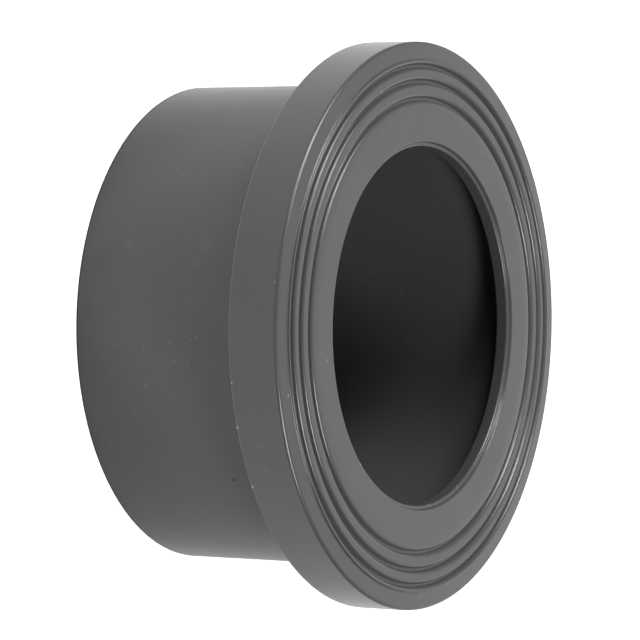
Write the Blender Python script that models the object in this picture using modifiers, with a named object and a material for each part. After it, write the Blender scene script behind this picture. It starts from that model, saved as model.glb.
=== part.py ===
"""Flanged sleeve: a one-piece moulded pipe fitting, built as one turned solid.

It is the stub flange of a solvent-cement pipe line. A plain pipe end is glued into the socket of
the sleeve, a loose backing ring slides over the sleeve and bears on the back of the flange, and the
grooved face is bolted up against a gasket.

Frame: metres, +Z is the axis of the pipe. The sleeve's end rests on z = 0 and the grooved face looks
up. The origin is the centre of the sleeve's end.
"""
import math

import bpy
from mathutils import Vector

NAME = "flanged_sleeve"

# Socket and stop: the pipe end pushes in from below and meets the stop lip under the face
PIPE_DIAMETER = 0.0630
SOCKET_CLEARANCE = 0.00015
SOCKET_DRAFT = 0.0002
SOCKET_DEPTH = 0.0382
LEAD_IN_CHAMFER = 0.0012
STOP_THICKNESS = 0.0026
STOP_HEIGHT = 0.0030

# Sleeve and flange
SLEEVE_WALL = 0.00665
FLANGE_OVERHANG = 0.0067
FLANGE_THICKNESS = 0.0089

# Mouth of the bore: a short wall down from the face to a narrow ledge
MOUTH_WALL_RUN = 0.00025
LEDGE_DEPTH = 0.0005
LEDGE_WIDTH = 0.0005

# Jointing face, from its edge inwards: a low rim, a short step up, and three grooves with lands
RIM_WIDTH = 0.0027
RIM_FALL = 0.0002
STEP_RISE = 0.0003
STEP_RUN = 0.00025
RIDGE_WIDTH = 0.00045
GROOVE_DEPTH = 0.0006
GROOVE_FLOOR_WIDTH = 0.00046
GROOVE_INNER_RUN = 0.00038
GROOVE_OUTER_RUN = 0.00034
OUTER_LAND_WIDTH = 0.00129
INNER_LAND_WIDTH = 0.00154

# How far the rounding of each edge reaches along its two sides
FLANGE_ROOT_ROUND = 0.0010
SLEEVE_END_ROUND = 0.0005
RIM_ROUND = 0.00045
GROOVE_INNER_ROUND = 0.0003
GROOVE_OUTER_ROUND = 0.0002
GROOVE_ROOT_ROUND = 0.00015
BACK_ROUND = 0.0003
LEDGE_ROUND = 0.0003
STOP_ROUND = 0.0003
MOUTH_ROUND = 0.00011
SHARP = 0.0

# How finely the turned shape is divided
TURN_STEPS = 72
ARC_STEPS = 2

# The most of a side that the rounding of one of its corners may take
SIDE_SHARE = 0.49

# Sizes that follow from those above
OVERALL_LENGTH = SOCKET_DEPTH + STOP_THICKNESS
SOCKET_MOUTH_RADIUS = PIPE_DIAMETER / 2 + SOCKET_CLEARANCE
SOCKET_END_RADIUS = SOCKET_MOUTH_RADIUS - SOCKET_DRAFT
BORE_RADIUS = SOCKET_END_RADIUS - STOP_HEIGHT
LEDGE_RADIUS = BORE_RADIUS + LEDGE_WIDTH
LEDGE_HEIGHT = OVERALL_LENGTH - LEDGE_DEPTH
SLEEVE_RADIUS = SOCKET_MOUTH_RADIUS + SLEEVE_WALL
FLANGE_RADIUS = SLEEVE_RADIUS + FLANGE_OVERHANG
FLANGE_BACK = OVERALL_LENGTH - FLANGE_THICKNESS
RIM_INNER_RADIUS = FLANGE_RADIUS - RIM_WIDTH
RIM_HEIGHT = OVERALL_LENGTH - STEP_RISE


def groove(outer):
    """Corners of one groove in the raised face, from its inner to its outer edge."""
    floor = OVERALL_LENGTH - GROOVE_DEPTH
    outer_root = outer - GROOVE_OUTER_RUN
    inner_root = outer_root - GROOVE_FLOOR_WIDTH
    inner = inner_root - GROOVE_INNER_RUN
    return [
        (inner, OVERALL_LENGTH, GROOVE_INNER_ROUND),
        (inner_root, floor, GROOVE_ROOT_ROUND),
        (outer_root, floor, GROOVE_ROOT_ROUND),
        (outer, OVERALL_LENGTH, GROOVE_OUTER_ROUND),
    ]


def grooves():
    """Corners of the three grooves, from the innermost one outwards."""
    third = groove(RIM_INNER_RADIUS - STEP_RUN - RIDGE_WIDTH)
    second = groove(third[0][0] - OUTER_LAND_WIDTH)
    first = groove(second[0][0] - INNER_LAND_WIDTH)
    return first + second + third


def section():
    """Corners of the wall as (radius, height, reach of the rounding), in order round it."""
    corners = [
        (BORE_RADIUS, LEDGE_HEIGHT, LEDGE_ROUND),
        (LEDGE_RADIUS, LEDGE_HEIGHT, SHARP),
        (LEDGE_RADIUS + MOUTH_WALL_RUN, OVERALL_LENGTH, MOUTH_ROUND),
    ]
    corners += grooves()
    corners += [
        (RIM_INNER_RADIUS - STEP_RUN, OVERALL_LENGTH, SHARP),
        (RIM_INNER_RADIUS, RIM_HEIGHT, SHARP),
        (FLANGE_RADIUS, RIM_HEIGHT - RIM_FALL, RIM_ROUND),
        (FLANGE_RADIUS, FLANGE_BACK, BACK_ROUND),
        (SLEEVE_RADIUS, FLANGE_BACK, FLANGE_ROOT_ROUND),
        (SLEEVE_RADIUS, 0.0, SLEEVE_END_ROUND),
        (SOCKET_MOUTH_RADIUS + LEAD_IN_CHAMFER, 0.0, SHARP),
        (SOCKET_MOUTH_RADIUS, LEAD_IN_CHAMFER, SHARP),
        (SOCKET_END_RADIUS, SOCKET_DEPTH, SHARP),
        (BORE_RADIUS, SOCKET_DEPTH, STOP_ROUND),
    ]
    return corners


def rounded(before, corner, after, reach):
    """Points of the arc that replaces a corner and touches both its sides."""
    back = before - corner
    on = after - corner
    reach = min(reach, SIDE_SHARE * back.length, SIDE_SHARE * on.length)
    if reach <= SHARP:
        return [corner]
    back.normalize()
    on.normalize()
    opening = back.angle(on)
    start = corner + back * reach
    end = corner + on * reach
    centre = corner + (back + on).normalized() * reach / math.cos(opening / 2)
    turn = math.pi - opening
    points = []
    for step in range(ARC_STEPS + 1):
        share = step / ARC_STEPS
        from_start = (start - centre) * math.sin((1 - share) * turn)
        from_end = (end - centre) * math.sin(share * turn)
        points.append(centre + (from_start + from_end) / math.sin(turn))
    return points


def outline():
    """The closed outline of the wall, with its edges rounded."""
    corners = [(Vector((radius, height)), reach) for radius, height, reach in section()]
    points = []
    for index, (corner, reach) in enumerate(corners):
        before = corners[index - 1][0]
        after = corners[(index + 1) % len(corners)][0]
        points += rounded(before, corner, after, reach)
    return points


def plastic():
    """Dark grey rigid PVC with a satin moulded skin."""
    material = bpy.data.materials.new("dark_grey_pvc")
    material.use_nodes = True
    shader = material.node_tree.nodes["Principled BSDF"]
    shader.inputs["Base Color"].default_value = (0.080, 0.079, 0.078, 1.0)
    shader.inputs["Roughness"].default_value = 0.30
    shader.inputs["Metallic"].default_value = 0.0
    return material


def turned(name, profile, collection):
    """A closed outline of (radius, height) points, turned once about +Z."""
    count = len(profile)
    vertices = [(radius, 0.0, height) for radius, height in profile]
    edges = [(index, (index + 1) % count) for index in range(count)]
    mesh = bpy.data.meshes.new(name)
    mesh.from_pydata(vertices, edges, [])
    part = bpy.data.objects.new(name, mesh)
    collection.objects.link(part)
    screw = part.modifiers.new("turn", "SCREW")
    screw.axis = "Z"
    screw.angle = math.radians(360)
    screw.steps = TURN_STEPS
    screw.render_steps = TURN_STEPS
    screw.use_merge_vertices = True
    screw.merge_threshold = 0.00001
    screw.use_smooth_shade = True
    flats = part.modifiers.new("flats", "WEIGHTED_NORMAL")
    flats.keep_sharp = False
    return part


def main():
    for old in list(bpy.data.objects):
        bpy.data.objects.remove(old, do_unlink=True)
    collection = bpy.data.collections.new(NAME)
    bpy.context.scene.collection.children.link(collection)
    sleeve = turned(NAME, outline(), collection)
    sleeve.data.materials.append(plastic())


main()
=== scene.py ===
"""Looks of the flanged sleeve: the surface of the one turned piece, the floor and the lights.

Frame: metres, +Z is the axis of the pipe. The sleeve's end rests on z = 0 and the grooved face
looks up.
"""
import math

import bmesh
import bpy
from mathutils import Matrix, Vector


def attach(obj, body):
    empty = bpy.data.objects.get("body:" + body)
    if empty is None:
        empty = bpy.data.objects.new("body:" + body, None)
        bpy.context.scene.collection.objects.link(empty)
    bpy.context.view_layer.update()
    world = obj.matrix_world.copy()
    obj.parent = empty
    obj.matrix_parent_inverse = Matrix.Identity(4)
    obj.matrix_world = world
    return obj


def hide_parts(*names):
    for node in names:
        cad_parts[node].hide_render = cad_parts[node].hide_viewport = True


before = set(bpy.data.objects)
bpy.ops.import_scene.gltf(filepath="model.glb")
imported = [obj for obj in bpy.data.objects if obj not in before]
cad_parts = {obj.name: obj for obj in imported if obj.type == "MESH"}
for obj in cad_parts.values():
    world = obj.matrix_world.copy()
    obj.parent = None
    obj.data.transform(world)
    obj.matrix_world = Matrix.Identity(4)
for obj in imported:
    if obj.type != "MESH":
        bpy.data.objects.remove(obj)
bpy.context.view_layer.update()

# Sizes of the fitting, in metres
SOCKET_RADIUS = 0.03165
SOCKET_END_RADIUS = 0.03145
SOCKET_DEPTH = 0.0382
LEAD_IN = 0.0012
BORE_RADIUS = 0.02845
LEDGE_RADIUS = 0.02895
MOUTH_RADIUS = 0.02920
LEDGE_DEPTH = 0.0005
SLEEVE_RADIUS = 0.0383
FLANGE_RADIUS = 0.0450
FLANGE_BACK = 0.0319
FACE_HEIGHT = 0.0408
STEP_TOP_RADIUS = 0.04205
RIM_INNER_RADIUS = 0.04215
RIM_INNER_DEPTH = 0.0003
RIM_OUTER_DEPTH = 0.0005

# The plain band is level out to BAND_RADIUS and falls by BAND_DROP to the first groove. Each
# groove has its middle, and its lips and roots lie at the same distances from every middle.
BAND_RADIUS = 0.0339
BAND_DROP = 0.00007
GROOVES = (0.03585, 0.03857, 0.04104)
GROOVE_DEPTH = 0.0008
GROOVE_INNER_LIP = 0.00046
GROOVE_INNER_ROOT = 0.00026
GROOVE_OUTER_ROOT = 0.00028
GROOVE_OUTER_LIP = 0.00050

# How far the rounding of each kind of corner reaches along its two sides
FLANGE_ROOT_ROUND = 0.0010
BAND_ROUND = 0.0007
RIM_ROUND = 0.00055
SLEEVE_END_ROUND = 0.0003
GROOVE_INNER_ROUND = 0.00033
GROOVE_OUTER_ROUNDS = (0.00045, 0.00045, 0.00037)
GROOVE_ROOT_ROUND = 0.00015
LEDGE_ROUND = 0.00030
BACK_ROUND = 0.0003
STOP_ROUND = 0.0003
STEP_ROUND = 0.00012
STEP_FOOT_ROUND = 0.00018
MOUTH_ROUND = 0.00011
LEDGE_ROOT_ROUND = 0.00008

# How finely the piece is divided, and how close two points are when they are made one
TURN_STEPS = 400
ROUND_SEGMENTS = 7
MERGE_DISTANCE = 1e-7

# The camera's place, found from the outline and the grooves
AXIS_FROM_VIEW = math.radians(59.45)
AXIS_LEAN = math.radians(1.06)
FACE_CENTRE_IN_VIEW = (0.01680, -0.00096, -0.6004)
LENS_MM = 213.39
SENSOR_MM = 36.0
NEAREST_SEEN = 0.01


def corners():
    """The section's corners as (radius, height, rounding), in order round the wall."""
    top = FACE_HEIGHT
    ledge = top - LEDGE_DEPTH
    found = [
        (BORE_RADIUS, ledge, LEDGE_ROUND),
        (LEDGE_RADIUS, ledge, LEDGE_ROOT_ROUND),
        (MOUTH_RADIUS, top, MOUTH_ROUND),
        (BAND_RADIUS, top, BAND_ROUND),
    ]
    floor = top - GROOVE_DEPTH
    inner_lip = top - BAND_DROP
    for middle, outer_round in zip(GROOVES, GROOVE_OUTER_ROUNDS):
        found.append((middle - GROOVE_INNER_LIP, inner_lip, GROOVE_INNER_ROUND))
        found.append((middle - GROOVE_INNER_ROOT, floor, GROOVE_ROOT_ROUND))
        found.append((middle + GROOVE_OUTER_ROOT, floor, GROOVE_ROOT_ROUND))
        found.append((middle + GROOVE_OUTER_LIP, top, outer_round))
        inner_lip = top
    found += [
        (STEP_TOP_RADIUS, top, STEP_ROUND),
        (RIM_INNER_RADIUS, top - RIM_INNER_DEPTH, STEP_FOOT_ROUND),
        (FLANGE_RADIUS, top - RIM_OUTER_DEPTH, RIM_ROUND),
        (FLANGE_RADIUS, FLANGE_BACK, BACK_ROUND),
        (SLEEVE_RADIUS, FLANGE_BACK, FLANGE_ROOT_ROUND),
        (SLEEVE_RADIUS, 0.0, SLEEVE_END_ROUND),
        (SOCKET_RADIUS + LEAD_IN, 0.0, STEP_ROUND),
        (SOCKET_RADIUS, LEAD_IN, BACK_ROUND),
        (SOCKET_END_RADIUS, SOCKET_DEPTH, STEP_ROUND),
        (BORE_RADIUS, SOCKET_DEPTH, STOP_ROUND),
    ]
    return found


def moulded_sleeve():
    """The whole fitting as one closed wall, turned about the pipe's axis."""
    bm = bmesh.new()
    by_rounding = {}
    ring = []
    for radius, height, rounding in corners():
        vertex = bm.verts.new((radius, 0.0, height))
        by_rounding.setdefault(rounding, []).append(vertex)
        ring.append(vertex)
    for here, after in zip(ring, ring[1:] + ring[:1]):
        bm.edges.new((here, after))
    for rounding, vertices in by_rounding.items():
        bmesh.ops.bevel(
            bm, geom=vertices, offset=rounding, offset_type="OFFSET", affect="VERTICES",
            segments=ROUND_SEGMENTS, profile=0.5, material=-1,
        )
    bmesh.ops.spin(
        bm, geom=bm.verts[:] + bm.edges[:], cent=(0, 0, 0), axis=(0, 0, 1),
        angle=math.radians(360), steps=TURN_STEPS, use_merge=True,
    )
    bmesh.ops.remove_doubles(bm, verts=bm.verts[:], dist=MERGE_DISTANCE)
    bmesh.ops.recalc_face_normals(bm, faces=bm.faces[:])
    for face in bm.faces:
        face.smooth = True
    mesh = bpy.data.meshes.new("moulded_sleeve")
    bm.to_mesh(mesh)
    bm.free()
    piece = bpy.data.objects.new("moulded_sleeve", mesh)
    bpy.context.scene.collection.objects.link(piece)
    flats = piece.modifiers.new("flats", "WEIGHTED_NORMAL")
    flats.keep_sharp = False
    return piece


class Socket:
    """One socket of a finish, on which a sum written in Python adds its nodes."""

    def __init__(self, finish, link):
        self.finish = finish
        self.link = link

    def math(self, operation, first, second):
        return self.finish.node("ShaderNodeMath", {"operation": operation}, {0: first, 1: second})

    def __gt__(self, other):
        return self.math("GREATER_THAN", self, other)

    def __add__(self, other):
        return self.math("ADD", self, other)

    __radd__ = __add__

    def __sub__(self, other):
        return self.math("SUBTRACT", self, other)

    def __rsub__(self, other):
        return self.math("SUBTRACT", other, self)

    def __mul__(self, other):
        return self.math("MULTIPLY", self, other)

    __rmul__ = __mul__


class Finish:
    """A material or a surround, and the one way in which its nodes are added."""

    def __init__(self, owner, shader):
        owner.use_nodes = True
        self.tree = owner.node_tree
        self.shader = self.tree.nodes[shader]

    def node(self, kind, settings=None, sockets=None, output=0):
        """Adds a node: its settings first, then the values or links of its sockets."""
        added = self.tree.nodes.new(kind)
        for name, value in (settings or {}).items():
            setattr(added, name, value)
        for name, value in (sockets or {}).items():
            self.put(added.inputs[name], value)
        return Socket(self, added.outputs[output])

    def put(self, entry, value):
        if isinstance(value, Socket):
            self.tree.links.new(value.link, entry)
        else:
            entry.default_value = value

    def vector_math(self, operation, first, second=None, output="Value"):
        """Adds a step of vector maths. Its result is a number unless the output is Vector."""
        sockets = {0: first} if second is None else {0: first, 1: second}
        return self.node("ShaderNodeVectorMath", {"operation": operation}, sockets, output)

    def object_place(self):
        """The place of the point being shaded, in the piece's own coordinates."""
        return self.node("ShaderNodeTexCoord", output="Object")

    def noise(self, place, size, detail=1.0):
        """Noise from 0 to 1 whose blotches are about one size across, in metres."""
        sockets = {"Vector": place, "Scale": 1 / size, "Detail": detail}
        return self.node("ShaderNodeTexNoise", {}, sockets)

    def between(self, value, low, high, to_low=0.0, to_high=1.0):
        """Maps a range of a value smoothly onto another range."""
        settings = {"interpolation_type": "SMOOTHSTEP"}
        from_range = {"Value": value, "From Min": low, "From Max": high}
        to_range = {"To Min": to_low, "To Max": to_high}
        return self.node("ShaderNodeMapRange", settings, from_range | to_range)

    def grey(self, value):
        """A colour whose three parts are one value."""
        return self.node("ShaderNodeCombineColor", {}, {0: value, 1: value, 2: value})


# The moulded skin: its colour, and the sizes of what varies it
SKIN_VALUE = 0.08
SKIN_TINT = (1.015, 0.99, 0.968)
CLOUD_SIZE = 0.012
GRAIN_SIZE = 0.0004
SKIN_VARIATION = 0.14
GRAIN_HEIGHT = 0.000002
SKIN_ROUGHNESS = 0.20
ROUGHNESS_VARIATION = 0.04
SKIN_IOR = 1.5

# Dust lies in patches: sizes of the patches and specks, the noise at which each begins and is full
DUST_PATCH_SIZE = 0.015
DUST_PATCH = (0.5, 0.65)
DUST_SPECK_SIZE = 0.0008
DUST_SPECK = (0.66, 0.76)
DUST_PALER = 0.30

# Small marks and painted glints: place of the middle and reach in metres, and the share by which
# they are paler.
# A negative share is a darker mark. The core is the share of the reach that is fully coloured.
MARK_CORE = 0.3
MARKS_AND_GLINTS = (
    ((-0.03762, -0.01597, 0.04070), 0.00035, 7.0),
    ((-0.03610, -0.01540, 0.04075), 0.00030, 2.5),
    ((-0.00259, -0.04488, 0.04045), 0.00030, 3.0),
    ((-0.00619, -0.04457, 0.03970), 0.00022, 1.2),
    ((0.01069, -0.04134, 0.04050), 0.00030, 1.8),
    ((0.00543, -0.03078, 0.04080), 0.00025, 1.2),
    # The next two are painted glints on the rounded edge of the mouth
    ((0.01510, -0.02493, 0.04080), 0.00030, 2.2),
    ((0.02136, -0.02006, 0.04080), 0.00030, 2.2),
    ((0.00897, -0.04410, 0.03215), 0.00030, 2.0),
    ((0.01569, -0.04218, 0.03205), 0.00035, 3.5),
    ((0.02471, -0.03761, 0.03210), 0.00035, 3.2),
    ((0.01837, -0.04108, 0.03550), 0.00090, 0.10),
    ((0.02202, -0.03924, 0.03550), 0.00080, 0.14),
    ((-0.01177, -0.03645, 0.02220), 0.00160, 0.12),
    ((-0.00914, -0.03719, 0.02090), 0.00120, 0.14),
    ((-0.00334, -0.03815, 0.02020), 0.00100, 0.07),
    ((-0.01196, -0.03638, 0.00845), 0.00120, 0.10),
    ((-0.00933, -0.03715, 0.00400), 0.00320, -0.09),
    ((0.02415, -0.02972, 0.02395), 0.00050, -0.55),
    ((0.04468, -0.00500, 0.03180), 0.00060, -0.60),
    ((0.02568, 0.01225, 0.04045), 0.00045, 1.2),
    ((0.02147, 0.01866, 0.04055), 0.00040, 1.0),
)

# A painted highlight along the rounded edge of the flange's back: its reach in metres, the share of
# the reach that is fully coloured, and the share by which it is paler
BACK_EDGE_HIGHLIGHT = 0.0003
BACK_EDGE_HIGHLIGHT_CORE = 0.5
BACK_EDGE_HIGHLIGHT_PALER = 0.9


def painted_back_edge_highlight(finish, place):
    """How much paler the painted highlight along the flange's back edge makes the colour, from the
    distance to that edge.
    """
    level = finish.vector_math("MULTIPLY", place, (1.0, 1.0, 0.0), "Vector")
    radius = finish.vector_math("LENGTH", level)
    height = finish.node("ShaderNodeSeparateXYZ", {}, {0: place}, "Z")
    in_section = finish.node("ShaderNodeCombineXYZ", {}, {"X": radius, "Z": height})
    away = finish.vector_math("DISTANCE", in_section, (FLANGE_RADIUS, 0.0, FLANGE_BACK))
    return finish.between(away, BACK_EDGE_HIGHLIGHT_CORE * BACK_EDGE_HIGHLIGHT, BACK_EDGE_HIGHLIGHT, BACK_EDGE_HIGHLIGHT_PALER, 0.0)


def moulded_pvc():
    """Dark grey rigid PVC: the soft gloss of a moulded skin, with clouds, dust and nicks, and
    painted highlights on the edge of the flange's back and on the mouth's edge.
    """
    material = bpy.data.materials.new("dark_grey_moulded_pvc")
    finish = Finish(material, "Principled BSDF")
    place = finish.object_place()
    clouds = finish.noise(place, CLOUD_SIZE)
    grain = finish.noise(place, GRAIN_SIZE, 2.0)
    patches = finish.between(finish.noise(place, DUST_PATCH_SIZE), *DUST_PATCH)
    specks = finish.between(finish.noise(place, DUST_SPECK_SIZE), *DUST_SPECK)
    paler = DUST_PALER * (specks * patches)
    for middle, reach, share in MARKS_AND_GLINTS:
        away = finish.vector_math("DISTANCE", place, middle)
        paler = paler + finish.between(away, MARK_CORE * reach, reach, share, 0.0)
    # A painted highlight along the rounded edge of the flange's back
    paler = paler + painted_back_edge_highlight(finish, place)
    least = 1 - SKIN_VARIATION / 2
    clean = SKIN_VALUE * (least + SKIN_VARIATION * clouds) * (least + SKIN_VARIATION * grain)
    value = clean * (1 + paler)
    tinted = {channel: value * tint for channel, tint in enumerate(SKIN_TINT)}
    colour = finish.node("ShaderNodeCombineColor", {}, tinted)
    roughness = SKIN_ROUGHNESS + ROUGHNESS_VARIATION * clouds
    relief = {"Strength": 1.0, "Distance": GRAIN_HEIGHT, "Height": grain}
    finish.put(finish.shader.inputs["Base Color"], colour)
    finish.put(finish.shader.inputs["Roughness"], roughness)
    finish.put(finish.shader.inputs["Metallic"], 0.0)
    finish.put(finish.shader.inputs["IOR"], SKIN_IOR)
    finish.put(finish.shader.inputs["Normal"], finish.node("ShaderNodeBump", {}, relief))
    return material


# The floor: its colour beside the sleeve, its painted shade under the sleeve, and its own glow, as
# the camera sees it and as the gloss of the fitting does
FLOOR_SIZE = 3.0
FLOOR_WHITE = 0.80
FLOOR_PAINTED_SHADE = 0.05
GLOW_TO_CAMERA = 0.60
GLOW_IN_GLOSS = 0.06


def floor():
    """A plain white floor, which keeps a faint shadow of the fitting and is painted dark as shade
    under the sleeve.
    """
    bm = bmesh.new()
    bmesh.ops.create_grid(bm, x_segments=1, y_segments=1, size=FLOOR_SIZE / 2)
    mesh = bpy.data.meshes.new("floor")
    bm.to_mesh(mesh)
    bm.free()
    piece = bpy.data.objects.new("floor", mesh)
    bpy.context.scene.collection.objects.link(piece)
    material = bpy.data.materials.new("white_floor")
    finish = Finish(material, "Principled BSDF")
    from_middle = finish.vector_math("LENGTH", finish.object_place())
    beside = from_middle > SLEEVE_RADIUS
    # Under the sleeve, inside the bore, the floor is painted dark as shade and does not glow
    pale_or_painted_shade = FLOOR_PAINTED_SHADE + (FLOOR_WHITE - FLOOR_PAINTED_SHADE) * beside
    rays = ("Is Camera Ray", "Is Glossy Ray", "Is Transmission Ray")
    in_view, in_gloss, through = (finish.node("ShaderNodeLightPath", output=ray) for ray in rays)
    glow = (in_view * GLOW_TO_CAMERA + (in_gloss + through) * GLOW_IN_GLOSS) * beside
    finish.put(finish.shader.inputs["Base Color"], finish.grey(pale_or_painted_shade))
    finish.put(finish.shader.inputs["Roughness"], 1.0)
    finish.put(finish.shader.inputs["Specular IOR Level"], 0.0)
    finish.put(finish.shader.inputs["Emission Color"], finish.grey(glow))
    finish.put(finish.shader.inputs["Emission Strength"], 1.0)
    mesh.materials.append(material)


# Wide soft lights of the surround: azimuth, elevation, spread in degrees, and radiance
SOFT_LIGHTS = (
    (80, 5, 24, 1.12),
    (90, 25, 16, 0.07),
)


def toward(azimuth, elevation):
    """The direction of a light, from its azimuth and elevation in degrees."""
    azimuth = math.radians(azimuth)
    elevation = math.radians(elevation)
    level = math.cos(elevation)
    return Vector((level * math.cos(azimuth), level * math.sin(azimuth), math.sin(elevation)))


def surround():
    """A dark studio with wide soft lights low behind the fitting."""
    world = bpy.data.worlds.new("studio")
    bpy.context.scene.world = world
    finish = Finish(world, "Background")
    gaze = finish.node("ShaderNodeTexCoord", output="Generated")
    light = 0.0
    for azimuth, elevation, spread, strength in SOFT_LIGHTS:
        near = finish.vector_math("DOT_PRODUCT", gaze, toward(azimuth, elevation))
        fall = (near - 1) * (1 / math.radians(spread) ** 2)
        share = finish.node("ShaderNodeMath", {"operation": "EXPONENT"}, {0: fall})
        light = share * strength + light
    finish.put(finish.shader.inputs["Color"], (1.0, 1.0, 1.0, 1.0))
    finish.put(finish.shader.inputs["Strength"], light)


# Soft panels of light: azimuth, elevation, width and height in degrees, and radiance. They stand
# round the middle of the face, PANEL_DISTANCE metres away.
PANELS = (
    (172, 35, 20, 16, 5.8),
    (193, 35, 20, 16, 9.3),
    (172, 51, 20, 16, 16.2),
    (193, 51, 20, 16, 2.3),
    (212, 30, 20, 16, 5.5),
    (151, 60, 20, 16, 9.2),
    (180, 65, 20, 16, 8.4),
    (334, 44, 22, 12, 18.0),
    (322, 56, 22, 12, 25.8),
)
PANEL_DISTANCE = 0.6


def panels():
    """Soft panels of light on two sides of the fitting, which give its edges their highlights."""
    centre = Vector((0.0, 0.0, FACE_HEIGHT))
    for azimuth, elevation, width, height, radiance in PANELS:
        name = f"panel_{azimuth}_{elevation}"
        light = bpy.data.lights.new(name, "AREA")
        light.shape = "RECTANGLE"
        level = math.cos(math.radians(elevation))
        light.size = 2 * PANEL_DISTANCE * math.tan(math.radians(width) / 2) * level
        light.size_y = 2 * PANEL_DISTANCE * math.tan(math.radians(height) / 2)
        light.energy = radiance * math.pi * light.size * light.size_y
        holder = bpy.data.objects.new(name, light)
        bpy.context.scene.collection.objects.link(holder)
        direction = toward(azimuth, elevation)
        holder.location = centre + direction * PANEL_DISTANCE
        holder.rotation_euler = direction.to_track_quat("Z", "Y").to_euler()


def camera():
    """The view of the photo: the pipe's axis lies across the picture, face turned to the lens."""
    lens = bpy.data.cameras.new("camera")
    lens.lens = LENS_MM
    lens.sensor_width = SENSOR_MM
    lens.clip_start = NEAREST_SEEN
    holder = bpy.data.objects.new("camera", lens)
    bpy.context.scene.collection.objects.link(holder)
    up = Vector((
        math.sin(AXIS_FROM_VIEW) * math.cos(AXIS_LEAN),
        -math.sin(AXIS_FROM_VIEW) * math.sin(AXIS_LEAN),
        math.cos(AXIS_FROM_VIEW),
    ))
    away = Vector((0.0, 0.0, -1.0))
    along = (away - up * away.dot(up)).normalized()
    turn = Matrix((along.cross(up), along, up))
    place = Vector((0.0, 0.0, FACE_HEIGHT)) - turn @ Vector(FACE_CENTRE_IN_VIEW)
    holder.matrix_world = Matrix.Translation(place) @ turn.to_4x4()
    bpy.context.scene.camera = holder


def main():
    sleeve = moulded_sleeve()
    sleeve.data.materials.append(moulded_pvc())
    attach(sleeve, "root")
    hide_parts("flanged_sleeve")
    floor()
    surround()
    panels()
    camera()
    bpy.context.scene.view_settings.view_transform = "Standard"


main()
